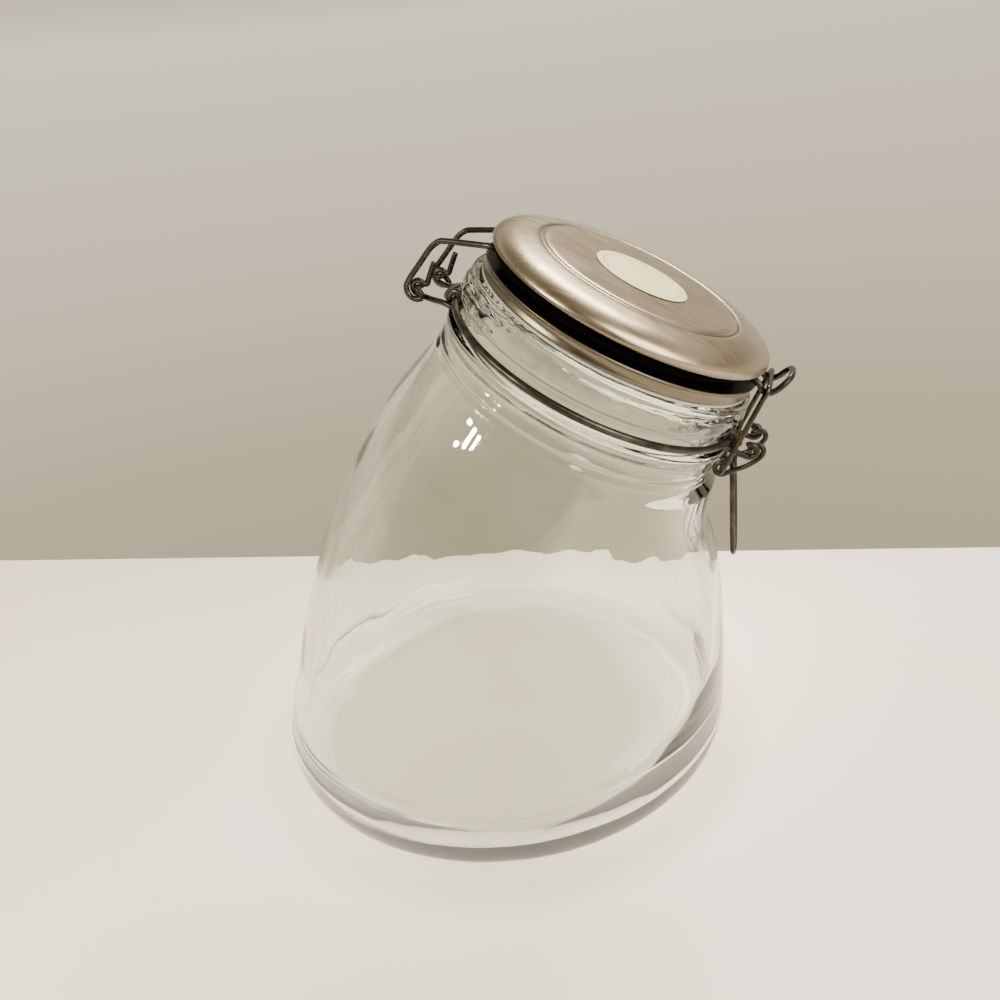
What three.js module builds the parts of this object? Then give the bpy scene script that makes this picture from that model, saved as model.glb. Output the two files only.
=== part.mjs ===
// Slant-front glass storage jar with a hinged steel lid and a wire bail clasp.
// Millimetres, +Z up, +X towards the clasp. The origin is the middle of the flat underside.
import * as THREE from 'three';

// Driving sizes of the glass body
const BASE_HALF_LENGTH = 104.2;
const BASE_HALF_WIDTH = 101.9;
const HEEL_HEIGHT = 17;
const WALL = 4.5;
const FLOOR = 7;
const SIDES_OF_GLASS = 48;

// The mouth is tilted forward, and its own frame has its middle under the rim of the lid
const MOUTH_TILT = 0.534;
const MOUTH_X = 72.1;
const MOUTH_Z = 201.4;
const MOUTH_RADIUS = 50.6;

// Where the body meets the neck, measured in the tilted frame
const NECK_FOOT_RADIUS = 60.2;
const NECK_FOOT_LEVEL = -47.3;
const SHOULDER_REACH = 63;

// Lid, radii and levels in the tilted frame
const LID_RADIUS = 55.8;
const LID_SHIFT = 0.6;
const LID_TOP = 6.9;
const PRESSED_RING_RADIUS = 39.6;
const LABEL_RADIUS = 18.5;
const CORE_RADIUS = 48.8;
const GAP = 0.3;

// Wires
const RING_WIRE = 1.4;
const LID_WIRE = 1.15;
const BRACKET_WIRE = 1.15;
const CLASP_WIRE = 1.0;
const RING_RADIUS = 58.6;
const RING_LEVEL = -28.5;
const GROOVE_RADIUS = 51.6;
const GROOVE_LEVEL = -3.9;

// Pivots, as distance outward from the mouth's axis and level along it
const HINGE_EYE = [73.2, -34.2];
const LEVER_EYE = [66.6, -28];
const LINK_EYE = [61.9, -40.4];

// Distances of the wires from the middle plane of the jar
const HINGE_EYE_Y = 11;
const LID_ARM_Y = 13.6;
const LEVER_EYE_Y = 10.3;
const LEVER_Y = 7.8;
const HANDLE_Y = 5.4;
const LINK_Y = 12.8;
const TAB_Y = 9;

const TURN = 2 * Math.PI;
const DEGREE = Math.PI / 180;
const point = (x, y, z) => new THREE.Vector3(x, y, z);

// Colours of the pieces
const glass = { color: '#dfe6dd', roughness: 0.05, metalness: 0 };
const steel = { color: '#a89e8e', roughness: 0.35, metalness: 1 };
const darkWire = { color: '#4a4034', roughness: 0.5, metalness: 1 };
const blackRubber = { color: '#0b0907', roughness: 0.8, metalness: 0 };
const clearRubber = { color: '#c9cbbd', roughness: 0.5, metalness: 0 };
const creamPaper = { color: '#e2dec4', roughness: 0.8, metalness: 0 };

function piece(name, geometry, finish) {
  const mesh = new THREE.Mesh(geometry, new THREE.MeshStandardMaterial(finish));
  mesh.name = name;
  return mesh;
}

// A turned piece about the local Z axis, from pairs of radius and level
function turned(profile, sides) {
  const outline = profile.map(([radius, level]) => new THREE.Vector2(radius, level));
  return new THREE.LatheGeometry(outline, sides).rotateX(Math.PI / 2);
}

// A wire whose sections stand exactly on its listed points
class WireRoute extends THREE.Curve {
  constructor(points) {
    super();
    this.points = points;
  }

  getPoint(t, target = new THREE.Vector3()) {
    const place = t * (this.points.length - 1);
    const first = Math.min(Math.floor(place + 1e-9), this.points.length - 2);
    return target.lerpVectors(this.points[first], this.points[first + 1], place - first);
  }

  getPointAt(t, target) {
    return this.getPoint(t, target);
  }

  getTangentAt(t, target = new THREE.Vector3()) {
    const last = this.points.length - 1;
    const here = Math.round(t * last);
    const middle = this.points[here];
    const before = this.points[Math.max(here - 1, 0)];
    const after = this.points[Math.min(here + 1, last)];
    const incoming = middle.clone().sub(before).normalize();
    const outgoing = after.clone().sub(middle).normalize();
    return target.copy(incoming.add(outgoing)).normalize();
  }
}

function wire(points, radius) {
  const sides = 8;
  const corners = [];
  for (let i = 0; i < sides; i += 1) {
    const angle = (i / sides) * TURN;
    corners.push(new THREE.Vector2(radius * Math.cos(angle), radius * Math.sin(angle)));
  }
  return new THREE.ExtrudeGeometry(new THREE.Shape(corners), {
    steps: points.length - 1,
    extrudePath: new WireRoute(points),
    bevelEnabled: false,
  });
}

// A route that is drawn for one side, from the middle plane outward, and mirrored
function bothSides(half) {
  const mirrored = half.map((p) => point(p.x, -p.y, p.z)).reverse();
  return [...mirrored.filter((p) => p.y < 0), ...half];
}

// Points round a centre, with the angle counted from outward through upward
function arc([outward, level], y, radius, from, to, steps) {
  const points = [];
  for (let i = 0; i <= steps; i += 1) {
    const angle = (from + ((to - from) * i) / steps) * DEGREE;
    points.push(point(outward + radius * Math.cos(angle), y, level + radius * Math.sin(angle)));
  }
  return points;
}

// Glass body: rings between a nearly round base and the tilted neck
function neckPoint(radius, level) {
  return new THREE.Vector2(
    MOUTH_X + level * Math.sin(MOUTH_TILT) + radius * Math.cos(MOUTH_TILT),
    MOUTH_Z + level * Math.cos(MOUTH_TILT) - radius * Math.sin(MOUTH_TILT),
  );
}

const backTop = neckPoint(-NECK_FOOT_RADIUS, NECK_FOOT_LEVEL);
const frontTop = neckPoint(SHOULDER_REACH, NECK_FOOT_LEVEL);
const backProfile = new THREE.CubicBezierCurve(
  new THREE.Vector2(-BASE_HALF_LENGTH, HEEL_HEIGHT),
  new THREE.Vector2(5 - BASE_HALF_LENGTH, HEEL_HEIGHT + 5),
  new THREE.Vector2(backTop.x - 71.2, backTop.y - 56),
  backTop,
);
const frontProfile = new THREE.CubicBezierCurve(
  new THREE.Vector2(BASE_HALF_LENGTH, HEEL_HEIGHT),
  new THREE.Vector2(BASE_HALF_LENGTH + 3.8, HEEL_HEIGHT + 107),
  new THREE.Vector2(frontTop.x - 12.5, frontTop.y - 35.5),
  frontTop,
);
const widthProfile = new THREE.CubicBezierCurve(
  new THREE.Vector2(BASE_HALF_WIDTH, 0),
  new THREE.Vector2(89.4, 0),
  new THREE.Vector2(85.4, 0),
  new THREE.Vector2(NECK_FOOT_RADIUS, 0),
);

// A ring holds its middle, its half length as a vector in the XZ plane and its half width
function bodyRing(t, inset = 0) {
  const back = backProfile.getPoint(t);
  const front = frontProfile.getPoint(t);
  const half = front.clone().sub(back).multiplyScalar(0.5);
  return {
    middle: back.add(front).multiplyScalar(0.5),
    half: half.setLength(half.length() - inset),
    width: widthProfile.getPoint(t).x - inset,
  };
}

function levelRing(inset, z) {
  return {
    middle: new THREE.Vector2(0, z),
    half: new THREE.Vector2(BASE_HALF_LENGTH - inset, 0),
    width: BASE_HALF_WIDTH - inset,
  };
}

function neckRing([radius, level]) {
  return {
    middle: neckPoint(0, level),
    half: neckPoint(radius, 0).sub(neckPoint(0, 0)),
    width: radius,
  };
}

function spread(count, from, to, make) {
  return Array.from({ length: count }, (_, i) => make(from + ((to - from) * i) / (count - 1)));
}

const heel = [[BASE_HALF_LENGTH, 0], [12, 0], [6.1, 1.5], [2.6, 5.1], [0.7, 10.2]];
const neckOutside = [
  [59.8, -45.4], [58.9, -42], [58.5, -39], [58.7, -37], [59.4, -35.6], [59.9, -34.6], [59.7, -33.4],
  [58.6, -32.8], [56.4, -32.6], [54.2, -31.4], [54.2, -25.6], [56.8, -24.4], [58.6, -23.3],
  [59.2, -20.5], [58.5, -17.4], [57.2, -16.2], [57.2, -15.7], [57.9, -15.2], [57.6, -14.3],
  [56.8, -13.6], [55.4, -13.3],
];
const neckInside = [[MOUTH_RADIUS + 0.8, -13.3], [MOUTH_RADIUS, -14.1], [50.6, -24], [51.4, -34]];
const cavityFloor = [[6, 17], [9, 13], [14, 9.8], [21, 7.8], [30, FLOOR], [BASE_HALF_LENGTH, FLOOR]];

function glassRings() {
  return [
    ...heel.map(([inset, z]) => levelRing(inset, z)),
    ...spread(14, 0, 1, (t) => bodyRing(t)),
    ...neckOutside.map(neckRing),
    ...neckInside.map(neckRing),
    ...spread(10, 1, 0.1, (t) => bodyRing(t, WALL)),
    ...cavityFloor.map(([inset, z]) => levelRing(inset, z)),
  ];
}

// A lathe of unit rings, each of which then takes its own middle, tilt and half axes
function glassBody() {
  const rings = glassRings();
  const last = rings.length - 1;
  const unit = rings.map((_, i) => new THREE.Vector2(i === 0 || i === last ? 0 : 1, i));
  const geometry = new THREE.LatheGeometry(unit, SIDES_OF_GLASS);
  const place = geometry.attributes.position;
  for (let i = 0; i < place.count; i += 1) {
    const ring = i % rings.length;
    const { middle, half, width } = rings[ring];
    const angle = ((Math.floor(i / rings.length) % SIDES_OF_GLASS) / SIDES_OF_GLASS) * TURN;
    const along = unit[ring].x * Math.cos(angle);
    const across = unit[ring].x * Math.sin(angle);
    place.setXYZ(i, middle.x + half.x * along, width * across, middle.y + half.y * along);
  }
  return geometry;
}

// Neck wire: a plain ring in the groove under the lip
function neckWire() {
  const section = spread(9, 0, TURN, (angle) => [
    RING_RADIUS + RING_WIRE * Math.cos(angle),
    RING_LEVEL + RING_WIRE * Math.sin(angle),
  ]);
  section[8] = section[0];
  return turned(section, SIDES_OF_GLASS);
}

// A bracket wire winds once round the neck wire on each side of its cross bar
function knot(from, to) {
  const steps = 8;
  const reach = RING_WIRE + BRACKET_WIRE + GAP;
  return spread(steps + 1, 0, 1, (t) => {
    const y = from + (to - from) * t;
    const angle = (-45 + 315 * t) * DEGREE;
    const outward = Math.sqrt(RING_RADIUS ** 2 - y ** 2) + reach * Math.cos(angle);
    return point(outward, y, RING_LEVEL + reach * Math.sin(angle));
  });
}

function hingeBracket() {
  const [outward, level] = HINGE_EYE;
  const eye = 2.6;
  const y = HINGE_EYE_Y;
  const half = [
    point(63.6, 0, -32.6),
    point(63.2, 5, -32.4),
    point(61.6, 11, -31.8),
    point(59.2, 15.2, -30.9),
    ...knot(16.9, 19.5),
    point(59.2, 18.6, -31.8),
    point(64.4, 14.6, -34.3),
    point(67.8, 11.5, -36),
    ...arc(HINGE_EYE, y, eye, 270, 480, 8),
    point(outward - 2.6, y, level + 2.9),
    point(outward - 2.5, y, level + 4.8),
    point(outward - 2.2, y, level + 11.8),
  ];
  return wire(bothSides(half), BRACKET_WIRE).rotateZ(Math.PI);
}

function claspBracket() {
  const eye = 2.5;
  const y = LEVER_EYE_Y;
  const half = [
    point(62.8, 0, -30.4),
    point(62.7, 4, -30.4),
    ...knot(7.9, y),
    point(62, y, -31.1),
    ...arc(LEVER_EYE, y, eye, 270, 510, 9),
  ];
  return wire(bothSides(half), BRACKET_WIRE);
}

// Lid wire: pin, hook and arm at the hinge, half the groove, and the raised tab in front
function lidWire() {
  const y = LID_ARM_Y;
  const [outward, level] = HINGE_EYE;
  const hook = arc(HINGE_EYE, y, 4.1, 0, -150, 5).reverse();
  const arm = [
    point(outward, 7.8, level),
    point(outward, 12.6, level),
    point(outward - 0.7, 13.5, level - 0.2),
    point(outward - 2.2, y, level - 0.7),
    ...hook,
    point(75.2, y, -24.5),
    point(73.4, y, -17.4),
    point(72.2, y, -15),
    point(70.8, 13.8, -13.3),
    point(68.8, 14.4, -12.2),
    point(53.4, 19.2, -5.3),
    point(51.4, 19.8, -4.4),
    point(48.6, 20.2, GROOVE_LEVEL),
  ].map((p) => point(-p.x, p.y, p.z));
  const groove = spread(11, 155, 14.5, (angle) => point(
    GROOVE_RADIUS * Math.cos(angle * DEGREE),
    GROOVE_RADIUS * Math.sin(angle * DEGREE),
    GROOVE_LEVEL,
  ));
  const tab = [
    point(51.6, 10, GROOVE_LEVEL),
    point(53.2, TAB_Y, -4.1),
    point(56.6, TAB_Y, -5.2),
    point(58.6, TAB_Y, -6.5),
    point(60.6, TAB_Y, -6.4),
    point(62.5, 8.8, -4.2),
    point(63.9, 8, -0.8),
    point(64.6, 6, 1.2),
    point(64.9, 3, 2),
    point(64.9, 0, 2),
  ];
  return wire(bothSides([...arm, ...groove, ...tab].reverse()), LID_WIRE);
}

// Lever: pin through the bracket's eye, hook, eye for the link, and the handle
function claspLever() {
  const y = LEVER_Y;
  const [outward, level] = LEVER_EYE;
  const half = [
    point(outward, 11.5, level),
    point(outward, 8.7, level),
    point(outward + 0.3, 7.9, level + 0.9),
    point(outward + 1.4, y, level + 2.4),
    point(outward + 3.2, y, level + 2.7),
    point(outward + 4.7, y, level + 1.3),
    point(outward + 4.8, y, level - 1.3),
    point(outward + 2.6, y, level - 6.6),
    ...arc(LINK_EYE, y, 2.5, -15, -240, 8),
    point(63.5, 6.8, -37.3),
    point(64.9, 5.9, -38.3),
    point(66.3, HANDLE_Y, -40.6),
    point(83.4, HANDLE_Y, -68.9),
    point(84.4, 4.2, -70.6),
    point(85.2, 2.2, -71.9),
    point(85.4, 0, -72.3),
  ];
  return wire(bothSides(half.reverse()), CLASP_WIRE);
}

// Link: a bail that runs from the lever's eyes up and over the tab of the lid wire
function claspLink() {
  const y = LINK_Y;
  const [outward, level] = LINK_EYE;
  const half = [
    point(59.6, 0, -3.8),
    point(59.6, 9.6, -3.8),
    point(59.6, 11.5, -4.2),
    point(59.7, 12.5, -5.4),
    point(59.8, y, -7.2),
    point(outward, y, level + 2.2),
    point(outward, 12.4, level + 0.6),
    point(outward, 11.2, level),
    point(outward, 6.2, level),
  ];
  return wire(bothSides(half), CLASP_WIRE);
}

// Lid: pressed dome with a shallow ring, black core in the groove, steel flange, gasket and label
function lidDome() {
  const ring = PRESSED_RING_RADIUS;
  return turned([
    [0, -1.6], [54.2, -1.6], [55.4, -1.2], [LID_RADIUS, -0.4], [55.5, 0.9], [54.6, 2.2], [52.8, 3.5],
    [49.8, 4.8], [45.8, 5.7], [ring + 1.6, 6.3], [ring + 0.8, 6], [ring - 0.4, 6], [ring - 1.2, 6.5],
    [LABEL_RADIUS, 6.8], [0, LID_TOP],
  ], SIDES_OF_GLASS);
}

function lidCore() {
  return turned([[0, -6.6], [CORE_RADIUS, -6.6], [CORE_RADIUS, -1.9], [0, -1.9]], SIDES_OF_GLASS);
}

function lidFlange() {
  return turned([
    [0, -11.7], [54.8, -11.7], [55.2, -11.3], [55.4, -9], [55.7, -7], [55.3, -6.7], [54.7, -6.9], [0, -6.9],
  ], SIDES_OF_GLASS);
}

function lidGasket() {
  return turned([
    [51.4, -13], [54.7, -13], [54.9, -12.5], [54.7, -12], [51.4, -12], [51.4, -13],
  ], SIDES_OF_GLASS);
}

function lidLabel() {
  return turned([[0, 7.2], [LABEL_RADIUS, 7.2], [LABEL_RADIUS, 7.4], [0, 7.4]], SIDES_OF_GLASS);
}

const jar = new THREE.Group();
jar.add(piece('glass_jar', glassBody(), glass));

const mouth = new THREE.Group();
mouth.position.set(MOUTH_X, 0, MOUTH_Z);
mouth.rotation.y = MOUTH_TILT;
mouth.add(
  piece('neck_wire', neckWire(), darkWire),
  piece('hinge_bracket', hingeBracket(), darkWire),
  piece('clasp_bracket', claspBracket(), darkWire),
  piece('clasp_lever', claspLever(), darkWire),
  piece('clasp_link', claspLink(), darkWire),
  piece('lid_wire', lidWire(), darkWire),
);

const lid = new THREE.Group();
lid.position.x = LID_SHIFT;
lid.add(
  piece('lid_dome', lidDome(), steel),
  piece('lid_core', lidCore(), blackRubber),
  piece('lid_flange', lidFlange(), steel),
  piece('lid_gasket', lidGasket(), clearRubber),
  piece('lid_label', lidLabel(), creamPaper),
);
mouth.add(lid);
jar.add(mouth);

export default jar;
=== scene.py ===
# Clear glass storage jar with a tilted mouth, a domed steel lid and a bail clasp bent from wire.
# The solids come from the frame; this file gives each piece its fine form and its finish.
import math

import bmesh
import bpy
from mathutils import Matrix, Vector, noise


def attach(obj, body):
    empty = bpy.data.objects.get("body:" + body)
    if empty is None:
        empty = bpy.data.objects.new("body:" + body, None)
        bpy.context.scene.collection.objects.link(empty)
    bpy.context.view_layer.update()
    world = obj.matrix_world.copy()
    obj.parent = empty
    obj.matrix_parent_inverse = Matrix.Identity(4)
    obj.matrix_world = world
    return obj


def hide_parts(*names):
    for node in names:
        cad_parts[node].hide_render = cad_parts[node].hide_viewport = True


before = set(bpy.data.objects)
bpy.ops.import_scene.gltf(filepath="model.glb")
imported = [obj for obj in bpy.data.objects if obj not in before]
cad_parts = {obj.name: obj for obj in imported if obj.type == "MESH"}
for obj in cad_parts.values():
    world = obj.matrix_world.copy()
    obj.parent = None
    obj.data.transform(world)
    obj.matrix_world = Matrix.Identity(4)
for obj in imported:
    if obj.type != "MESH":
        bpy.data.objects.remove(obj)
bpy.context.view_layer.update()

MM = 0.001
TURN = 2 * math.pi

# All sizes of the jar are in millimetres, with the origin under the middle of the base and
# X towards the clasp. A radius and a level on the neck or the lid count from the mouth, whose
# axis is tilted towards the clasp.
BASE_HALF_LENGTH = 104.2
BASE_HALF_WIDTH = 101.9
HEEL_HEIGHT = 17
HEEL_INSET = 12
WALL = 4.5
FLOOR_THICKNESS = 7
PUSH_UP = 1.6
MOUTH_TILT = 0.534
MOUTH_X = 72.1
MOUTH_Z = 201.4
MOUTH_RADIUS = 50.6
NECK_FOOT_RADIUS = 60.2
NECK_FOOT_LEVEL = -47.3
SHOULDER_REACH = 63
JAR_SIDES = 192

# Lid
LID_SHIFT = 0.6
LID_SIDES = 256
PRESSED_RING_RADIUS = 39.6
DOME_TOP = 6.9
DOME_UNDERSIDE = -1.6
CORE_RADIUS = 48.8
CORE_TOP = -1.9
CORE_UNDERSIDE = -6.6
FLANGE_TOP = -6.9
FLANGE_UNDERSIDE = -11.7
LABEL_RADIUS = 18.5
LABEL_BORDER_RADIUS = 15.6

# Wires: radii of the wires, then where they run, with an eye given as outward and level
RING_WIRE = 1.4
LID_WIRE = 1.15
BRACKET_WIRE = 1.15
CLASP_WIRE = 1.0
WIRE_SIDES = 16
BEND_STEPS = 5
GAP = 0.3
RING_RADIUS = 58.6
RING_LEVEL = -28.5
GROOVE_RADIUS = 51.6
GROOVE_LEVEL = -3.9
HINGE_EYE = (73.2, -34.2)
LEVER_EYE = (66.6, -28)
LINK_EYE = (61.9, -40.4)
HINGE_EYE_Y = 11
LID_ARM_Y = 13.6
LEVER_EYE_Y = 10.3
LEVER_Y = 7.8
HANDLE_Y = 5.4
LINK_Y = 12.8
TAB_Y = 9

TILTED_MOUTH = (
    Matrix.Translation((MOUTH_X, 0, MOUTH_Z)) @ Matrix.Rotation(MOUTH_TILT, 4, "Y")
)
TILTED_LID = TILTED_MOUTH @ Matrix.Translation((LID_SHIFT, 0, 0))

# Studio, in metres: the floor's far edge is level across the picture behind the jar, and the
# floor lies just under the base, so that the two faces don't coincide
FLOOR_DROP = -0.0004
FLOOR_EDGE_LEFT = (-0.1937, 0.1314, FLOOR_DROP)
FLOOR_EDGE_RIGHT = (0.1955, 0.1927, FLOOR_DROP)
FLOOR_SPREAD = 2.4
FLOOR_DEPTH = 2.6
LIGHT_AIM = (0.02, 0, 0.12)
MIDDLE_BULB = (-0.61, -0.79, 0.72)
BULB_STEP = Vector((0.0975, -0.078, 0))
CEILING_LIGHT = (0.28, 0.78, 1.15)
FILL_LIGHT = (1.1, -0.7, 0.9)
CAMERA_PLACE = (0.132752, -0.303757, 0.260541)
CAMERA_RIGHT = Vector((0.93891, 0.32592, -0.11059))
CAMERA_UP = Vector((-0.03940, 0.42101, 0.90620))
CAMERA_AHEAD = Vector((-0.34191, 0.84648, -0.40813))
CAMERA_SENSOR_MM = 36
CAMERA_LENS_MM = 29.52

# The room from under the floor to overhead, as share of the height and colour: the wall, a
# darker band above it, a bright band, and a dim ceiling that steel and glass mirror
ROOM_FADE = [
    (0.0, "#A8987E"), (0.2, "#BBAC92"), (0.48, "#E9DEC6"), (0.56, "#857863"), (0.653, "#8A7D68"),
    (0.713, "#F0E6D0"), (0.787, "#E6DCC6"), (0.867, "#8E8370"), (1.0, "#9A8F7C"),
]


# Finishes
def linear(hex_colour):
    """The linear value of an sRGB hex colour, with full alpha."""
    parts = [int(hex_colour[i : i + 2], 16) / 255 for i in (1, 3, 5)]
    return (*[p / 12.92 if p <= 0.04045 else ((p + 0.055) / 1.055) ** 2.4 for p in parts], 1.0)


def add(tree, kind, settings=(), **links):
    """One node. Settings are a ramp's stops, attributes, or inputs by name or place.

    Links join the inputs to sockets, by name or by place, so _0 is the first input.
    """
    node = tree.nodes.new("ShaderNode" + kind)
    for name, value in dict(settings).items():
        if name == "stops":
            elements = node.color_ramp.elements
            ends = [elements[0], elements[1]]
            for element, (place, colour) in zip(ends, (value[0], value[-1])):
                element.position, element.color = place, linear(colour)
            for place, colour in value[1:-1]:
                elements.new(place).color = linear(colour)
        elif isinstance(name, str) and hasattr(node, name):
            setattr(node, name, value)
        else:
            node.inputs[name].default_value = value
    for name, socket in links.items():
        place = int(name[1:]) if name[0] == "_" else name.replace("_", " ")
        tree.links.new(socket, node.inputs[place])
    return node


def finish(name, shader_settings):
    """A new material and its surface shader, with the settings that are the same all over."""
    material = bpy.data.materials.new(name)
    material.use_nodes = True
    tree = material.node_tree
    shader = tree.nodes["Principled BSDF"]
    for socket, value in shader_settings.items():
        shader.inputs[socket].default_value = value
    return material, tree, shader


def lid_place(tree):
    """Coordinates in metres about the lid's own axis, with Z along it."""
    where = add(tree, "TexCoord").outputs["Object"]
    middle = TILTED_LID.translation * MM
    return add(
        tree,
        "Mapping",
        {"vector_type": "TEXTURE", "Location": middle, "Rotation": (0, MOUTH_TILT, 0)},
        Vector=where,
    ).outputs[0]


def distance_from_axis(tree, place):
    """How far a point is from the lid's axis, in metres."""
    flat = add(tree, "VectorMath", {"operation": "MULTIPLY", 1: (1, 1, 0)}, _0=place)
    return add(tree, "VectorMath", {"operation": "LENGTH"}, _0=flat.outputs[0]).outputs["Value"]


def band(tree, value, middle, half_width, softness):
    """One inside a band about middle, falling to zero over softness."""
    off = add(tree, "Math", {"operation": "SUBTRACT", 1: middle}, _0=value).outputs[0]
    size = add(tree, "Math", {"operation": "ABSOLUTE"}, _0=off).outputs[0]
    return add(
        tree,
        "MapRange",
        {"From Min": half_width, "From Max": half_width + softness, "To Min": 1, "To Max": 0},
        Value=size,
    ).outputs[0]


# Soda-lime glass, pressed in a mould: clear with a faint green tint. It has shallow waves about
# 28 mm long, with the finer marks of the cold mould, 6 mm long, on them.
def pressed_soda_lime_glass():
    material, tree, shader = finish(
        "pressed_soda_lime_glass",
        {"IOR": 1.52, "Transmission Weight": 1.0, "Metallic": 0.0},
    )
    where = add(tree, "TexCoord").outputs["Object"]
    waves = add(
        tree, "TexNoise", {"Scale": 1 / (28 * MM), "Detail": 1.0, "Roughness": 0.35}, Vector=where
    )
    chill = add(tree, "TexNoise", {"Scale": 1 / (6 * MM), "Detail": 2.0}, Vector=where)
    height = add(
        tree,
        "Math",
        {"operation": "MULTIPLY_ADD", 1: 0.12},
        _0=chill.outputs["Fac"],
        _2=waves.outputs["Fac"],
    )
    bump = add(tree, "Bump", {"Strength": 0.10, "Distance": 1.2 * MM}, Height=height.outputs[0])
    tint = add(
        tree, "ValToRGB", {"stops": [(0.3, "#EDF2EA"), (0.7, "#F5F8F2")]}, Fac=waves.outputs["Fac"]
    )
    # The underside is finely stippled, so that it looks milky where light runs along it
    height_up = add(tree, "SeparateXYZ", Vector=where).outputs["Z"]
    stipple = add(
        tree,
        "MapRange",
        {"From Min": 0.2 * MM, "From Max": 1.2 * MM, "To Min": 0.28, "To Max": 0.0},
        Value=height_up,
    )
    tree.links.new(stipple.outputs[0], shader.inputs["Roughness"])
    tree.links.new(tint.outputs["Color"], shader.inputs["Base Color"])
    tree.links.new(bump.outputs[0], shader.inputs["Normal"])
    return material


# Ferritic stainless steel, deep drawn and mill finished: warm grey, with fine rubbed
# scratches, small dark specks of tarnish, a darker line where the ring is pressed in, and
# painted black shade on the faces inside the recess. The rim and the band below it are duller
# and darker in colour, as painted shade.
def drawn_stainless_steel():
    material, tree, shader = finish("drawn_stainless_steel", {"Metallic": 1.0})
    place = lid_place(tree)
    radius = distance_from_axis(tree, place)
    level = add(tree, "SeparateXYZ", Vector=place).outputs["Z"]
    cloud = add(tree, "TexNoise", {"Scale": 1 / (34 * MM), "Detail": 3.0}, Vector=place)
    base = add(
        tree,
        "ValToRGB",
        {"stops": [(0.3, "#968873"), (0.55, "#AC9E8A"), (0.8, "#9D907C")]},
        Fac=cloud.outputs["Fac"],
    )

    # The darker line along the pressed ring is broken up by the cloud noise, so it comes and goes
    ring_line = band(tree, radius, (PRESSED_RING_RADIUS + 0.2) * MM, 0.28 * MM, 0.5 * MM)
    line_gaps = add(
        tree,
        "MapRange",
        {"From Min": 0.42, "From Max": 0.56, "To Min": 0.12, "To Max": 0.85},
        Value=cloud.outputs["Fac"],
    )
    broken_ring_line = add(
        tree, "Math", {"operation": "MULTIPLY"}, _0=ring_line, _1=line_gaps.outputs[0]
    )
    specks = add(tree, "TexVoronoi", {"Scale": 1 / (13 * MM)}, Vector=place)
    speck = add(
        tree,
        "MapRange",
        {"From Min": 0.028, "From Max": 0.05, "To Min": 0.8, "To Max": 0},
        Value=specks.outputs["Distance"],
    )
    line_and_specks = add(
        tree, "Math", {"operation": "MAXIMUM"}, _0=broken_ring_line.outputs[0], _1=speck.outputs[0]
    )
    lined_and_specked = add(
        tree,
        "Mix",
        {"data_type": "RGBA", 7: linear("#4A4238")},
        _0=line_and_specks.outputs[0],
        _6=base.outputs["Color"],
    )

    # Painted shade: the rim's lower edge and the band below it are mixed towards a dull dark grey
    low = add(
        tree,
        "MapRange",
        {"From Min": -0.8 * MM, "From Max": 1.4 * MM, "To Min": 0.85, "To Max": 0},
        Value=level,
    )
    low_shaded = add(
        tree,
        "Mix",
        {"data_type": "RGBA", 7: linear("#565347")},
        _0=low.outputs[0],
        _6=lined_and_specked.outputs[2],
    )
    # Painted shade: the faces inside the recess, between the dome and the flange, are mixed to
    # nearly black
    shade_height = band(tree, level, -4.2 * MM, 2.8 * MM, 0.3 * MM)
    shade_depth = add(
        tree,
        "MapRange",
        {"From Min": 54.4 * MM, "From Max": 55.5 * MM, "To Min": 1, "To Max": 0},
        Value=radius,
    )
    recess_shade = add(
        tree, "Math", {"operation": "MULTIPLY"}, _0=shade_height, _1=shade_depth.outputs[0]
    )
    colour = add(
        tree,
        "Mix",
        {"data_type": "RGBA", 7: linear("#020101")},
        _0=recess_shade.outputs[0],
        _6=low_shaded.outputs[2],
    )

    # Rubbed streaks run across the lid, about 1.3 mm wide
    smear = add(
        tree,
        "Mapping",
        {"vector_type": "POINT", "Scale": (1.0, 7.0, 1.0), "Rotation": (0, 0, 0.5)},
        Vector=place,
    )
    rub = add(tree, "TexNoise", {"Scale": 1 / (9 * MM), "Detail": 6.0}, Vector=smear.outputs[0])
    polish = add(
        tree,
        "MapRange",
        {"From Min": 0.3, "From Max": 0.75, "To Min": 0.26, "To Max": 0.37},
        Value=rub.outputs["Fac"],
    )
    # Real scratches are 0.02 mm wide: these are drawn at about 0.3 mm so that they show
    scratch_place = add(
        tree,
        "Mapping",
        {"vector_type": "POINT", "Scale": (1.0, 26.0, 1.0), "Rotation": (0, 0, -0.9)},
        Vector=place,
    )
    scratches = add(
        tree,
        "TexNoise",
        {"Scale": 1 / (8 * MM), "Detail": 8.0, "Roughness": 0.7},
        Vector=scratch_place.outputs[0],
    )
    relief = add(
        tree,
        "Math",
        {"operation": "MULTIPLY_ADD", 1: 0.05},
        _0=scratches.outputs["Fac"],
        _2=rub.outputs["Fac"],
    )
    bump = add(tree, "Bump", {"Strength": 0.10, "Distance": 0.12 * MM}, Height=relief.outputs[0])
    tree.links.new(colour.outputs[2], shader.inputs["Base Color"])
    tree.links.new(polish.outputs[0], shader.inputs["Roughness"])
    tree.links.new(bump.outputs[0], shader.inputs["Normal"])
    return material
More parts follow.
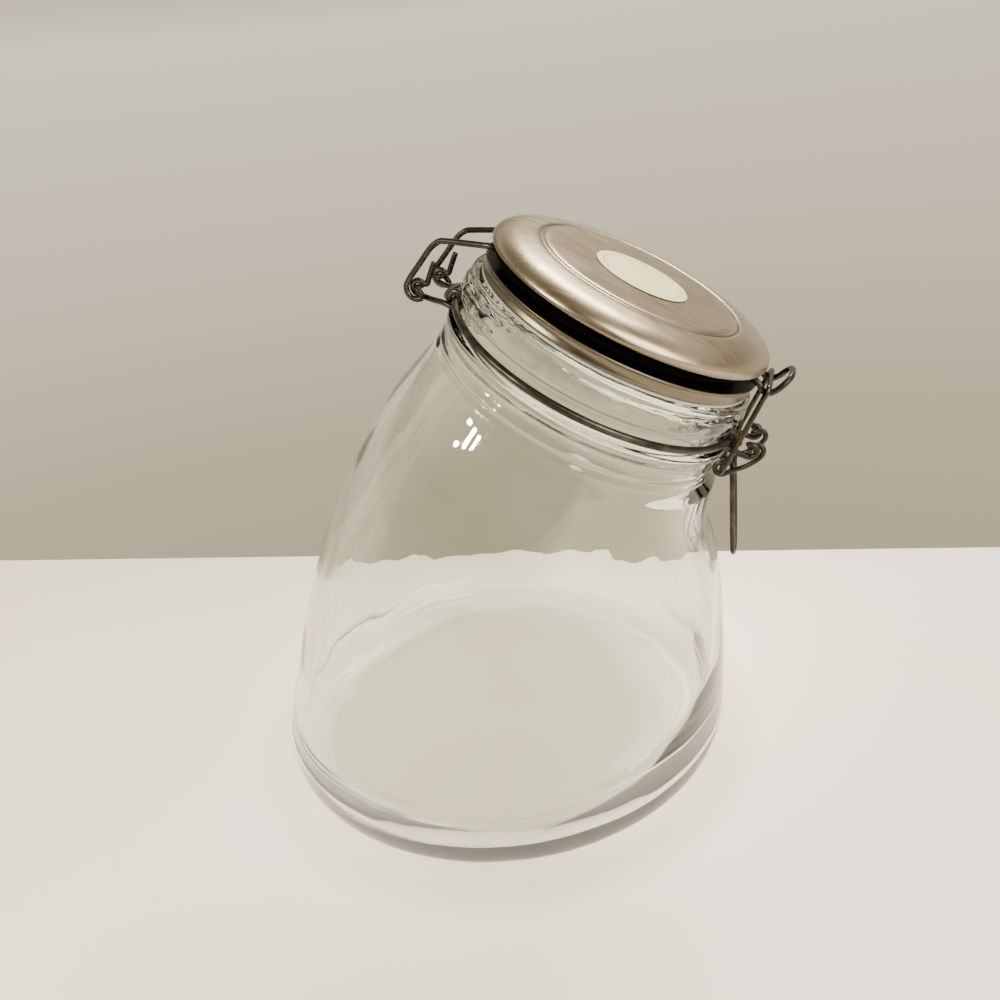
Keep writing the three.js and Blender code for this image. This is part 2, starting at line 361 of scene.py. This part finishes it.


# Drawn mild steel wire, tinned long ago: dark brown grey, dull, with worn places, a little
# rust in spots, and painted black shade where it lies in the lid's recess.
def aged_tinned_wire():
    material, tree, shader = finish("aged_tinned_wire", {"Metallic": 0.9})
    where = add(tree, "TexCoord").outputs["Object"]
    wear = add(tree, "TexNoise", {"Scale": 1 / (7 * MM), "Detail": 5.0}, Vector=where)
    rust = add(tree, "TexNoise", {"Scale": 1 / (3.2 * MM), "Detail": 6.0}, Vector=where)
    base = add(
        tree,
        "ValToRGB",
        {"stops": [(0.3, "#23201D"), (0.55, "#37332E"), (0.8, "#5C574E")]},
        Fac=wear.outputs["Fac"],
    )
    rusty = add(
        tree,
        "MapRange",
        {"From Min": 0.6, "From Max": 0.72, "To Min": 0, "To Max": 0.65},
        Value=rust.outputs["Fac"],
    )
    rusted = add(
        tree,
        "Mix",
        {"data_type": "RGBA", 7: linear("#4A2E1A")},
        _0=rusty.outputs[0],
        _6=base.outputs["Color"],
    )
    # Painted shade: where the wire lies in the lid's recess it is mixed to nearly black
    in_recess = add(
        tree,
        "MapRange",
        {"From Min": 53.4 * MM, "From Max": 57 * MM, "To Min": 0.98, "To Max": 0},
        Value=distance_from_axis(tree, lid_place(tree)),
    )
    recess_shaded = add(
        tree,
        "Mix",
        {"data_type": "RGBA", 7: linear("#030202")},
        _0=in_recess.outputs[0],
        _6=rusted.outputs[2],
    )
    worn = add(
        tree,
        "MapRange",
        {"From Min": 0.3, "From Max": 0.8, "To Min": 0.42, "To Max": 0.24},
        Value=wear.outputs["Fac"],
    )
    dull = add(
        tree, "Math", {"operation": "MAXIMUM"}, _0=worn.outputs[0], _1=in_recess.outputs[0]
    )
    bump = add(
        tree, "Bump", {"Strength": 0.35, "Distance": 0.15 * MM}, Height=rust.outputs["Fac"]
    )
    tree.links.new(recess_shaded.outputs[2], shader.inputs["Base Color"])
    tree.links.new(dull.outputs[0], shader.inputs["Roughness"])
    tree.links.new(bump.outputs[0], shader.inputs["Normal"])
    return material


# Black nitrile rubber, moulded: dull, with a fine grain. Its colour is partly the rubber's own
# black and partly painted shade of the recess, which darkens it to nearly black.
def black_rubber_and_recess_shade():
    material, tree, shader = finish(
        "black_rubber_and_recess_shade", {"Metallic": 0.0, "IOR": 1.5, "Specular IOR Level": 0.2}
    )
    where = add(tree, "TexCoord").outputs["Object"]
    grain = add(tree, "TexNoise", {"Scale": 1 / (0.9 * MM), "Detail": 3.0}, Vector=where)
    # Painted shade: the base colour is nearly black, darker than the rubber itself
    base = add(
        tree, "ValToRGB", {"stops": [(0.3, "#030202"), (0.8, "#0B0807")]}, Fac=grain.outputs["Fac"]
    )
    dull = add(
        tree,
        "MapRange",
        {"From Min": 0.3, "From Max": 0.8, "To Min": 0.6, "To Max": 0.8},
        Value=grain.outputs["Fac"],
    )
    bump = add(
        tree, "Bump", {"Strength": 0.3, "Distance": 0.1 * MM}, Height=grain.outputs["Fac"]
    )
    tree.links.new(base.outputs["Color"], shader.inputs["Base Color"])
    tree.links.new(dull.outputs[0], shader.inputs["Roughness"])
    tree.links.new(bump.outputs[0], shader.inputs["Normal"])
    return material


# Natural silicone rubber, moulded: pale, milky and half clear, slightly uneven.
def moulded_clear_silicone():
    material, tree, shader = finish(
        "moulded_clear_silicone",
        {"Metallic": 0.0, "IOR": 1.43, "Transmission Weight": 0.45},
    )
    where = add(tree, "TexCoord").outputs["Object"]
    milk = add(tree, "TexNoise", {"Scale": 1 / (5 * MM), "Detail": 4.0}, Vector=where)
    base = add(
        tree, "ValToRGB", {"stops": [(0.3, "#C9CABD"), (0.75, "#E4E4D9")]}, Fac=milk.outputs["Fac"]
    )
    dull = add(
        tree,
        "MapRange",
        {"From Min": 0.3, "From Max": 0.8, "To Min": 0.35, "To Max": 0.5},
        Value=milk.outputs["Fac"],
    )
    tree.links.new(base.outputs["Color"], shader.inputs["Base Color"])
    tree.links.new(dull.outputs[0], shader.inputs["Roughness"])
    return material


# Coated paper sticker, die cut: cream, satin, with a thin dark cut edge, a faint plain
# inner border and slight yellowing in patches.
def coated_cream_paper():
    material, tree, shader = finish(
        "coated_cream_paper", {"Metallic": 0.0, "IOR": 1.5, "Roughness": 0.5}
    )
    place = lid_place(tree)
    radius = distance_from_axis(tree, place)
    age = add(tree, "TexNoise", {"Scale": 1 / (9 * MM), "Detail": 4.0}, Vector=place)
    fibre = add(tree, "TexNoise", {"Scale": 1 / (0.7 * MM), "Detail": 3.0}, Vector=place)
    base = add(
        tree, "ValToRGB", {"stops": [(0.3, "#F6EFC0"), (0.75, "#EBE2AC")]}, Fac=age.outputs["Fac"]
    )
    border = band(tree, radius, LABEL_BORDER_RADIUS * MM, 0.22 * MM, 0.25 * MM)
    faint_border = add(tree, "Math", {"operation": "MULTIPLY", 1: 0.4}, _0=border)
    cut_edge = band(tree, radius, (LABEL_RADIUS + 0.3) * MM, 0.5 * MM, 0.3 * MM)
    lines = add(tree, "Math", {"operation": "MAXIMUM"}, _0=faint_border.outputs[0], _1=cut_edge)
    colour = add(
        tree,
        "Mix",
        {"data_type": "RGBA", 7: linear("#8B836A")},
        _0=lines.outputs[0],
        _6=base.outputs["Color"],
    )
    bump = add(
        tree, "Bump", {"Strength": 0.15, "Distance": 0.06 * MM}, Height=fibre.outputs["Fac"]
    )
    tree.links.new(colour.outputs[2], shader.inputs["Base Color"])
    tree.links.new(bump.outputs[0], shader.inputs["Normal"])
    return material


# Matt painted board: warm white, with cloudy patches about 220 mm across. The glass throws only
# a faint shade, which lies under the jar and just past its heel.
def matt_pale_floor():
    material, tree, shader = finish("matt_pale_floor", {"Roughness": 0.85})
    where = add(tree, "TexCoord").outputs["Object"]
    tone = add(tree, "TexNoise", {"Scale": 1 / (220 * MM), "Detail": 2.0}, Vector=where)
    base = add(
        tree, "ValToRGB", {"stops": [(0.3, "#FAF1E6"), (0.7, "#FCF6EE")]}, Fac=tone.outputs["Fac"]
    )
    from_middle = add(tree, "VectorMath", {"operation": "LENGTH"}, _0=where)
    shade = add(
        tree,
        "MapRange",
        {"From Min": 84 * MM, "From Max": 124 * MM, "To Min": 0.85, "To Max": 0.0},
        Value=from_middle.outputs["Value"],
    )
    colour = add(
        tree,
        "Mix",
        {"data_type": "RGBA", 7: linear("#877F75")},
        _0=shade.outputs[0],
        _6=base.outputs["Color"],
    )
    tree.links.new(colour.outputs[2], shader.inputs["Base Color"])
    return material


# Making shapes
def spread(count, start, end):
    """Evenly spaced numbers from start to end."""
    return [start + (end - start) * i / (count - 1) for i in range(count)]


def solid(name, points, faces, place, material, crease=40):
    """A smooth closed piece from points in mm; edges sharper than crease degrees stay crisp."""
    shape = bmesh.new()
    corners = [shape.verts.new((place @ Vector(p)) * MM) for p in points]
    for face in faces:
        shape.faces.new([corners[i] for i in face])
    bmesh.ops.recalc_face_normals(shape, faces=shape.faces)
    for face in shape.faces:
        face.smooth = True
    for edge in shape.edges:
        if len(edge.link_faces) == 2 and edge.calc_face_angle() > math.radians(crease):
            edge.smooth = False
    mesh = bpy.data.meshes.new(name)
    shape.to_mesh(mesh)
    shape.free()
    piece = bpy.data.objects.new(name, mesh)
    bpy.context.scene.collection.objects.link(piece)
    mesh.materials.append(material)
    return piece


def through(points, steps):
    """Points along a soft curve that passes through all the given ones without overshoot."""
    route = [Vector(p) for p in points]
    route = [2 * route[0] - route[1], *route, 2 * route[-1] - route[-2]]
    out = []
    for a, b, c, d in zip(route, route[1:], route[2:], route[3:]):
        ab, bc, cd = [max((q - p).length, 1e-6) ** 0.5 for p, q in ((a, b), (b, c), (c, d))]
        leave = (b - a) / ab - (c - a) / (ab + bc) + (c - b) / bc
        reach = (c - b) / bc - (d - b) / (bc + cd) + (d - c) / cd
        for k in range(steps):
            t = k / steps
            out.append(
                b * (2 * t**3 - 3 * t**2 + 1)
                + leave * bc * (t**3 - 2 * t**2 + t)
                + c * (3 * t**2 - 2 * t**3)
                + reach * bc * (t**3 - t**2)
            )
    out.append(route[-2])
    return out


def soft_profile(profile, steps=4):
    """A turned piece's outline, rounded between its corners."""
    return [(p.x, p.y) for p in through([(r, level, 0) for r, level in profile], steps)]


def turned(name, profile, place, material, sides=JAR_SIDES, closed=False, relief=None):
    """A turned piece from pairs of radius and level; it closes on its axis or on itself."""
    points, rows = [], []
    for radius, level in profile:
        if radius == 0:
            rows.append([len(points)])
            points.append((0, 0, level))
            continue
        rows.append(list(range(len(points), len(points) + sides)))
        for i in range(sides):
            angle = TURN * i / sides
            at = Vector((radius * math.cos(angle), radius * math.sin(angle), level))
            points.append(relief(at) if relief else at)
    faces = []
    pairs = list(zip(rows, rows[1:])) + ([(rows[-1], rows[0])] if closed else [])
    for low, high in pairs:
        for i in range(sides):
            j = (i + 1) % sides
            if len(low) == 1:
                faces.append((low[0], high[j], high[i]))
            elif len(high) == 1:
                faces.append((low[i], low[j], high[0]))
            else:
                faces.append((low[i], low[j], high[j], high[i]))
    return solid(name, points, faces, place, material)


def bent_wire(name, route, radius, place, material):
    """Round wire along a route in mm, with its cut ends slightly broken at the edge."""
    too_close, end_radius, end_length = 0.02, radius * 0.7, radius * 0.3
    route = [Vector(p) for p in route]
    path = [
        p for i, p in enumerate(route) if i == 0 or (p - route[i - 1]).length > too_close
    ]
    ahead = (path[1] - path[0]).normalized()
    side = ahead.orthogonal().normalized()
    points, faces, rows = [], [], []

    def ring(middle, size):
        rows.append(len(points))
        across = ahead.cross(side)
        for i in range(WIRE_SIDES):
            angle = TURN * i / WIRE_SIDES
            points.append(middle + (side * math.cos(angle) + across * math.sin(angle)) * size)

    last = len(path) - 1
    for i, middle in enumerate(path):
        ahead = (path[min(i + 1, last)] - path[max(i - 1, 0)]).normalized()
        side = (side - ahead * side.dot(ahead)).normalized()
        if i == 0:
            ring(middle, end_radius)
            ring(middle + ahead * end_length, radius)
        elif i == last:
            ring(middle - ahead * end_length, radius)
            ring(middle, end_radius)
        else:
            ring(middle, radius)
    for low, high in zip(rows, rows[1:]):
        for i in range(WIRE_SIDES):
            j = (i + 1) % WIRE_SIDES
            faces.append((low + i, low + j, high + j, high + i))
    for end in (rows[0], rows[-1]):
        faces.append([end + i for i in range(WIRE_SIDES)])
    return solid(name, points, faces, place, material, crease=50)


def both_sides(half):
    """A route drawn from the middle plane outward, with its mirror image."""
    mirrored = [(x, -y, z) for x, y, z in reversed(half) if y > 0]
    return mirrored + list(half)


def arc(eye, y, radius, start, end, steps):
    """Points round an eye, with the angle in degrees counted from outward through upward."""
    out = []
    for angle in map(math.radians, spread(steps + 1, start, end)):
        out.append((eye[0] + radius * math.cos(angle), y, eye[1] + radius * math.sin(angle)))
    return out


def neck_point(radius, level):
    """A point of the middle plane, as X and Z, from its radius and level on the tilted neck."""
    return Vector((
        MOUTH_X + level * math.sin(MOUTH_TILT) + radius * math.cos(MOUTH_TILT),
        MOUTH_Z + level * math.cos(MOUTH_TILT) - radius * math.sin(MOUTH_TILT),
    ))


def bezier(corners, t):
    """The place at share t of a curve with four corners, which are points or numbers."""
    a, b, c, d = corners
    return a * (1 - t) ** 3 + b * 3 * t * (1 - t) ** 2 + c * 3 * t * t * (1 - t) + d * t**3


# Glass: the body runs from the heel to the foot of the neck along a back curve and a front
# curve in the middle plane, and a third curve gives its half width
BACK_TOP = neck_point(-NECK_FOOT_RADIUS, NECK_FOOT_LEVEL)
FRONT_TOP = neck_point(SHOULDER_REACH, NECK_FOOT_LEVEL)
BACK_PROFILE = (
    Vector((-BASE_HALF_LENGTH, HEEL_HEIGHT)),
    Vector((5 - BASE_HALF_LENGTH, HEEL_HEIGHT + 5)),
    BACK_TOP - Vector((71.2, 56)),
    BACK_TOP,
)
FRONT_PROFILE = (
    Vector((BASE_HALF_LENGTH, HEEL_HEIGHT)),
    Vector((BASE_HALF_LENGTH + 3.8, HEEL_HEIGHT + 107)),
    FRONT_TOP - Vector((12.5, 35.5)),
    FRONT_TOP,
)
WIDTH_PROFILE = (BASE_HALF_WIDTH, 89.4, 85.4, NECK_FOOT_RADIUS)

# Pairs of inset and height for the heel and the inside corner, and of radius and level for the
# neck: a bead, the wire's groove, the band, the lip with its small bead, and the mouth
HEEL = [(HEEL_INSET, 0), (6.1, 1.5), (2.6, 5.1), (0.7, 10.2), (0, HEEL_HEIGHT)]
NECK_OUTSIDE = [
    (NECK_FOOT_RADIUS, NECK_FOOT_LEVEL), (59.9, -46.2), (59.2, -45), (58.7, -43.9),
    (59.2, -42.8), (59.4, -42), (58.9, -41), (58.2, -39.4), (58.3, -37.6),
    (59.4, -35.6), (59.9, -34.6), (59.7, -33.4), (58.6, -32.8), (56.4, -32.6), (54.6, -31.6),
    (54.2, -30), (54.2, -27), (54.6, -25.4), (56.8, -24.4), (58.6, -23.3), (59.2, -20.5),
    (58.5, -17.4), (57.2, -16.2), (57.2, -15.7), (57.9, -15.2), (57.6, -14.3), (56.8, -13.6),
    (55.4, -13.3), (MOUTH_RADIUS + 0.8, -13.3), (MOUTH_RADIUS, -14.1), (MOUTH_RADIUS, -24),
    (51.4, -34),
]
CAVITY_FLOOR = [
    (6, 17), (8.2, 12.6), (11.2, 9.6), (14.2, 8.1), (15.2, 7.6), (16, 7.15),
    (16.8, FLOOR_THICKNESS), (30, FLOOR_THICKNESS),
]


def body_ring(t, inset=0):
    """The middle, half length and half width of the body at share t of its height."""
    back, front = bezier(BACK_PROFILE, t), bezier(FRONT_PROFILE, t)
    half = (front - back) / 2
    half *= (half.length - inset) / half.length
    return (back + front) / 2, half, bezier(WIDTH_PROFILE, t) - inset


def level_ring(inset, z):
    """The same for a level ring, inset from the base's outline."""
    return Vector((0, z)), Vector((BASE_HALF_LENGTH - inset, 0)), BASE_HALF_WIDTH - inset


def neck_ring(radius, level):
    """The same for a ring of the neck."""
    return neck_point(0, level), neck_point(radius, 0) - neck_point(0, 0), radius


def glass_rings():
    """Rings from the middle of the underside, up the outside, in at the lip and down inside."""
    rings = []
    for share in (0.25, 0.5, 0.75, 0.9):
        inset = BASE_HALF_LENGTH - (BASE_HALF_LENGTH - HEEL_INSET) * share
        rings.append(level_ring(inset, PUSH_UP * (1 - share**2)))
    rings += [level_ring(i, z) for i, z in soft_profile(HEEL)[:-1]]
    rings += [body_ring(t) for t in spread(44, 0, 1)[:-1]]
    rings += [neck_ring(r, level) for r, level in soft_profile(NECK_OUTSIDE, 3)]
    rings += [body_ring(t, WALL) for t in spread(36, 0.99, 0.1)]
    rings += [level_ring(i, z) for i, z in soft_profile(CAVITY_FLOOR, 3)[1:]]
    rings += [level_ring(i, FLOOR_THICKNESS) for i in (52, 78)]
    return rings


def has_ripples(number, rings):
    """Whether a ring lies in the 7 mm under the lip, where the mould leaves ripples."""
    off = rings[number][0] - Vector((MOUTH_X, MOUTH_Z))
    level = off.x * math.sin(MOUTH_TILT) + off.y * math.cos(MOUTH_TILT)
    outside = number < len(rings) * 0.75
    return outside and -22 < level < -15


def mould_marks(at, angle, number, rings):
    """How far the glass lies inside its plain form: slow swells, fine waves and ripples."""
    share = number / len(rings)
    swell = 0.22 * (noise.noise(at * 0.045 + Vector((share * 9, 0, 0))) - 0.3)
    fine = 0.10 * (noise.noise(Vector((angle * 9, at.z * 0.09, share * 20))) - 0.3)
    ripple = 0.0
    if has_ripples(number, rings):
        ripple = 0.5 * (noise.noise(Vector((angle * 18, number * 0.5, 5))) - 0.45)
    return min(swell + fine + ripple, -0.01)


def glass_jar():
    """The pressed body, closed by a fan of faces in the middle of its underside and floor."""
    rings = glass_rings()
    points, faces = [(0, 0, PUSH_UP)], []
    for number, (middle, half, width) in enumerate(rings):
        for i in range(JAR_SIDES):
            angle = TURN * i / JAR_SIDES
            along, across = math.cos(angle), math.sin(angle)
            at = Vector((middle.x + half.x * along, width * across, middle.y + half.y * along))
            if at.z >= 1:
                at += Vector((along, across, 0)) * mould_marks(at, angle, number, rings)
            points.append(at)
    last = len(points)
    points.append((0, 0, FLOOR_THICKNESS))
    for row in range(len(rings) - 1):
        for i in range(JAR_SIDES):
            j = (i + 1) % JAR_SIDES
            a, b = 1 + row * JAR_SIDES, 1 + (row + 1) * JAR_SIDES
            faces.append((a + i, a + j, b + j, b + i))
    end = 1 + (len(rings) - 1) * JAR_SIDES
    for i in range(JAR_SIDES):
        j = (i + 1) % JAR_SIDES
        faces.append((0, 1 + j, 1 + i))
        faces.append((last, end + i, end + j))
    piece = solid("jar_glass", points, faces, Matrix(), pressed_soda_lime_glass(), crease=60)
    # A traced shadow of clear glass is far too dark, so its faint shade is on the floor
    piece.visible_shadow = False
    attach(piece, "jar")
    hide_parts("glass_jar")


# Wires
def place_wire(name, route, radius, body, node, wire_metal):
    """A bent wire that stands for a node; its route is in the mouth's frame."""
    soft_route = through(route, BEND_STEPS)
    piece = bent_wire(name, soft_route, radius, TILTED_MOUTH, wire_metal)
    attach(piece, body)
    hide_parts(node)


def neck_ring_wire(wire_metal):
    """The closed ring in the groove of the neck, which holds both brackets."""
    section = [
        (RING_RADIUS + RING_WIRE * math.cos(a), RING_LEVEL + RING_WIRE * math.sin(a))
        for a in spread(21, 0, TURN)[:-1]
    ]
    piece = turned("neck_ring", section, TILTED_MOUTH, wire_metal, closed=True)
    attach(piece, "jar")
    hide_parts("neck_wire")


def knot(start, end):
    """A turn of wire wound round the neck wire."""
    reach = RING_WIRE + BRACKET_WIRE + GAP
    out = []
    for t in spread(9, 0, 1):
        y = start + (end - start) * t
        angle = math.radians(-45 + 315 * t)
        outward = math.sqrt(RING_RADIUS**2 - y * y) + reach * math.cos(angle)
        out.append((outward, y, RING_LEVEL + reach * math.sin(angle)))
    return out


def hinge_bracket(wire_metal):
    """A cross bar behind the neck, a knot, an eye and an upright prong on each side."""
    outward, level = HINGE_EYE
    y = HINGE_EYE_Y
    half = [
        (63.6, 0, -32.6), (63.2, 5, -32.4), (61.6, 11, -31.8), (59.2, 15.2, -30.9),
        *knot(16.9, 19.5),
        (59.2, 18.6, -31.8), (64.4, 14.6, -34.3), (67.8, 11.5, -36),
        *arc(HINGE_EYE, y, 2.6, 270, 480, 8),
        (outward - 2.6, y, level + 2.9), (outward - 2.5, y, level + 4.8),
        (outward - 2.2, y, level + 11.8),
    ]
    route = [(-x, -y, z) for x, y, z in both_sides(half)]
    place_wire("hinge_loop", route, BRACKET_WIRE, "jar", "hinge_bracket", wire_metal)


def clasp_bracket(wire_metal):
    """A bar in front of the neck, a knot and an eye for the lever on each side."""
    y = LEVER_EYE_Y
    half = [
        (62.8, 0, -30.4), (62.7, 4, -30.4), *knot(7.9, y), (62, y, -31.1),
        *arc(LEVER_EYE, y, 2.5, 270, 510, 9),
    ]
    place_wire("clasp_loop", both_sides(half), BRACKET_WIRE, "jar", "clasp_bracket", wire_metal)


def lid_wire(wire_metal):
    """A pin, a hook and an arm at the hinge, a half ring in the groove, and a raised tab."""
    y = LID_ARM_Y
    outward, level = HINGE_EYE
    arm = [
        (outward, 7.8, level), (outward, 12.6, level), (outward - 0.7, 13.5, level - 0.2),
        (outward - 2.2, y, level - 0.7), *reversed(arc(HINGE_EYE, y, 4.1, 0, -150, 5)),
        (75.2, y, -24.5), (73.4, y, -17.4), (72.2, y, -15), (70.8, 13.8, -13.3),
        (68.8, 14.4, -12.2), (53.4, 19.2, -5.3), (51.4, 19.8, -4.4), (48.6, 20.2, GROOVE_LEVEL),
    ]
    groove = [
        (GROOVE_RADIUS * math.cos(a), GROOVE_RADIUS * math.sin(a), GROOVE_LEVEL)
        for a in map(math.radians, spread(31, 155, 14.5))
    ]
    tab = [
        (51.6, 10, GROOVE_LEVEL), (53.2, TAB_Y, -4.1), (56.6, TAB_Y, -5.2), (58.6, TAB_Y, -6.5),
        (60.6, TAB_Y, -6.4), (62.5, 8.8, -4.2), (63.8, 8, -0.8), (64.5, 6, 1.2), (64.8, 3, 2),
        (64.8, 0, 2),
    ]
    half = [(-x, y, z) for x, y, z in arm] + groove + tab
    route = both_sides(list(reversed(half)))
    place_wire("lid_bail", route, LID_WIRE, "lid", "lid_wire", wire_metal)


def clasp_lever(wire_metal):
    """A pin, a hook and an eye for the link on each side, and the long handle."""
    y = LEVER_Y
    outward, level = LEVER_EYE
    half = [
        (outward, 11.5, level), (outward, 8.7, level), (outward + 0.3, 7.9, level + 0.9),
        (outward + 1.4, y, level + 2.4), (outward + 3.2, y, level + 2.7),
        (outward + 4.7, y, level + 1.3), (outward + 4.8, y, level - 1.3),
        (outward + 2.6, y, level - 6.6), *arc(LINK_EYE, y, 2.5, -15, -240, 8),
        (63.5, 6.8, -37.3), (64.9, 5.9, -38.3), (66.3, HANDLE_Y, -40.6),
        (83.4, HANDLE_Y, -68.9), (84.4, 4.2, -70.6), (85.2, 2.2, -71.9), (85.4, 0, -72.3),
    ]
    route = both_sides(list(reversed(half)))
    place_wire("pull_lever", route, CLASP_WIRE, "lever", "clasp_lever", wire_metal)


def clasp_link(wire_metal):
    """A bail over the lid's tab, with a side and a pin in the lever's eye on each side."""
    y = LINK_Y
    outward, level = LINK_EYE
    half = [
        (59.6, 0, -3.8), (59.6, 9.6, -3.8), (59.6, 11.5, -4.2), (59.7, 12.5, -5.4),
        (59.8, y, -7.2), (outward, y, level + 2.2), (outward, 12.4, level + 0.6),
        (outward, 11.2, level), (outward, 6.2, level),
    ]
    place_wire("pull_link", both_sides(half), CLASP_WIRE, "link", "clasp_link", wire_metal)


# Lid
def place_lid_piece(piece, node):
    """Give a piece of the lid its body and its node."""
    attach(piece, "lid")
    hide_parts(node)


def hammered(at):
    """Soft dents of a much used lid, a few tenths of a millimetre deep, fading at the rim."""
    if at.z < 1:
        return at
    dent = noise.noise(Vector((at.x * 0.05, at.y * 0.05, 3)))
    small = noise.noise(Vector((at.x * 0.13, at.y * 0.13, 8)))
    fall = min(1, max(0, (54 - at.xy.length) / 10))
    return at - Vector((0, 0, fall * (0.16 * max(0, dent + 0.3) + 0.05 * max(0, small + 0.2))))


def lid_dome(steel):
    """The rolled rim, the slope, the pressed ring and the slightly crowned top."""
    ring = PRESSED_RING_RADIUS
    edge = [
        (54.2, DOME_UNDERSIDE), (55.4, -1.2), (55.8, -0.4), (55.5, 0.9), (54.6, 2.2),
        (52.8, 3.5), (49.8, 4.8), (45.8, 5.7), (ring + 1.6, 6.3), (ring + 0.8, 6.05),
        (ring + 0.2, 5.9), (ring - 0.4, 6), (ring - 1.2, 6.5),
    ]
    crown = [(r, 6.8 - 0.3 * (r / 38) ** 2) for r in (36, 32, 28, 24, 20, 15, 10, 5)]
    underside = [(0, DOME_UNDERSIDE), (30, DOME_UNDERSIDE)]
    profile = [*underside, *soft_profile(edge), *crown, (0, DOME_TOP)]
    piece = turned("lid_cap", profile, TILTED_LID, steel, sides=LID_SIDES, relief=hammered)
    place_lid_piece(piece, "lid_dome")


def lid_core():
    """The dark inside of the recess, slightly waisted."""
    side = soft_profile([
        (CORE_RADIUS - 0.2, -6.5), (CORE_RADIUS, -6.1), (CORE_RADIUS - 0.5, -4.3),
        (CORE_RADIUS, -2.4), (CORE_RADIUS - 0.2, -2),
    ])
    profile = [
        (0, CORE_UNDERSIDE), (CORE_RADIUS - 0.6, CORE_UNDERSIDE), *side,
        (CORE_RADIUS - 0.6, CORE_TOP), (0, CORE_TOP),
    ]
    piece = turned("lid_recess", profile, TILTED_LID, black_rubber_and_recess_shade())
    place_lid_piece(piece, "lid_core")


def lid_flange(steel):
    """The band under the recess, with a small bead at its top and its foot."""
    edge = [
        (54.6, FLANGE_UNDERSIDE), (55.1, -11.6), (55.3, -11.2), (55, -10), (54.9, -9),
        (55.2, -7.9), (55.6, -7.3), (55.6, -7), (55.3, -6.75),
    ]
    profile = [
        (0, FLANGE_UNDERSIDE), (52, FLANGE_UNDERSIDE), *soft_profile(edge),
        (54.7, FLANGE_TOP), (0, FLANGE_TOP),
    ]
    piece = turned("lid_rim", profile, TILTED_LID, steel)
    place_lid_piece(piece, "lid_flange")


def lid_gasket():
    """The flat sealing ring between the flange and the lip."""
    section = soft_profile([
        (51.4, -12.9), (51.5, -13), (54.6, -13), (54.9, -12.5), (54.6, -12), (51.5, -12),
        (51.4, -12.1),
    ])
    piece = turned("lid_seal", section, TILTED_LID, moulded_clear_silicone(), closed=True)
    place_lid_piece(piece, "lid_gasket")


def lid_label():
    """The round sticker, bare, which follows the crown of the dome."""
    edge = soft_profile([(18.3, 6.86), (LABEL_RADIUS, 6.9), (18.45, 6.97), (18.2, 7)])
    profile = [(0, 6.96), (10, 6.94), *edge, (10, 7.07), (0, 7.1)]
    piece = turned("lid_sticker", profile, TILTED_LID, coated_cream_paper())
    place_lid_piece(piece, "lid_label")


# Floor, light and camera
def pale_floor():
    """One flat face, from its far edge to well behind the camera."""
    mesh = bpy.data.meshes.new("floor")
    edge = Vector(FLOOR_EDGE_LEFT)
    along = (Vector(FLOOR_EDGE_RIGHT) - edge).normalized()
    near = Vector((along.y, -along.x, 0)) * FLOOR_DEPTH
    left, right = edge - along * FLOOR_SPREAD, edge + along * FLOOR_SPREAD
    mesh.from_pydata([left, right, right + near, left + near], [], [(0, 1, 2, 3)])
    mesh.materials.append(matt_pale_floor())
    floor = bpy.data.objects.new("floor", mesh)
    bpy.context.scene.collection.objects.link(floor)


def soft_box(name, place, width, height, power, colour):
    """A rectangular light turned to the jar, with its sides in metres and power in watts."""
    light = bpy.data.lights.new(name, "AREA")
    light.shape = "RECTANGLE"
    light.size, light.size_y = width, height
    light.energy = power
    light.color = linear(colour)[:3]
    lamp = bpy.data.objects.new(name, light)
    lamp.location = place
    aim = Vector(LIGHT_AIM) - Vector(place)
    lamp.rotation_euler = aim.to_track_quat("-Z", "Y").to_euler()
    bpy.context.scene.collection.objects.link(lamp)


def room():
    """A plain light room as the world, for steel and glass to mirror."""
    world = bpy.data.worlds.new("studio")
    world.use_nodes = True
    tree = world.node_tree
    where = add(tree, "TexCoord").outputs["Generated"]
    direction = add(tree, "SeparateXYZ", Vector=where)
    height = add(
        tree, "MapRange", {"From Min": -0.6, "From Max": 0.9}, Value=direction.outputs["Z"]
    )
    fade = add(tree, "ValToRGB", {"stops": ROOM_FADE}, Fac=height.outputs[0])
    # The room is darker on the camera's side, which gives steel and glass their contrast
    strength = add(
        tree,
        "MapRange",
        {"From Min": -0.75, "From Max": 0.15, "To Min": 0.42, "To Max": 1.35},
        Value=direction.outputs["Y"],
    )
    background = tree.nodes["Background"]
    tree.links.new(strength.outputs[0], background.inputs["Strength"])
    tree.links.new(fade.outputs["Color"], background.inputs["Color"])
    bpy.context.scene.world = world


def lights():
    """Three small bulbs in a row for the glints, a ceiling light and a broad fill."""
    for number, steps in enumerate((-1, 0, 1)):
        bulb = Vector(MIDDLE_BULB) + BULB_STEP * steps
        soft_box(f"bulb_{number}", bulb, 0.055, 0.03, 5, "#FFF1DC")
    soft_box("ceiling", CEILING_LIGHT, 0.6, 0.32, 19, "#FFF6E6")
    soft_box("fill", FILL_LIGHT, 1.1, 0.9, 37, "#FFF7EA")


def camera():
    """The photo's view, worked out from the ellipses of the lid."""
    lens = bpy.data.cameras.new("camera")
    lens.sensor_width = CAMERA_SENSOR_MM
    lens.lens = CAMERA_LENS_MM
    eye = bpy.data.objects.new("camera", lens)
    turn = Matrix((CAMERA_RIGHT, CAMERA_UP, -CAMERA_AHEAD)).transposed().to_4x4()
    eye.matrix_world = Matrix.Translation(CAMERA_PLACE) @ turn
    bpy.context.scene.collection.objects.link(eye)
    bpy.context.scene.camera = eye


camera()
pale_floor()
room()
lights()
glass_jar()
wire_metal = aged_tinned_wire()
for wire in (neck_ring_wire, hinge_bracket, clasp_bracket, lid_wire, clasp_lever, clasp_link):
    wire(wire_metal)
steel = drawn_stainless_steel()
lid_dome(steel)
lid_core()
lid_flange(steel)
lid_gasket()
lid_label()
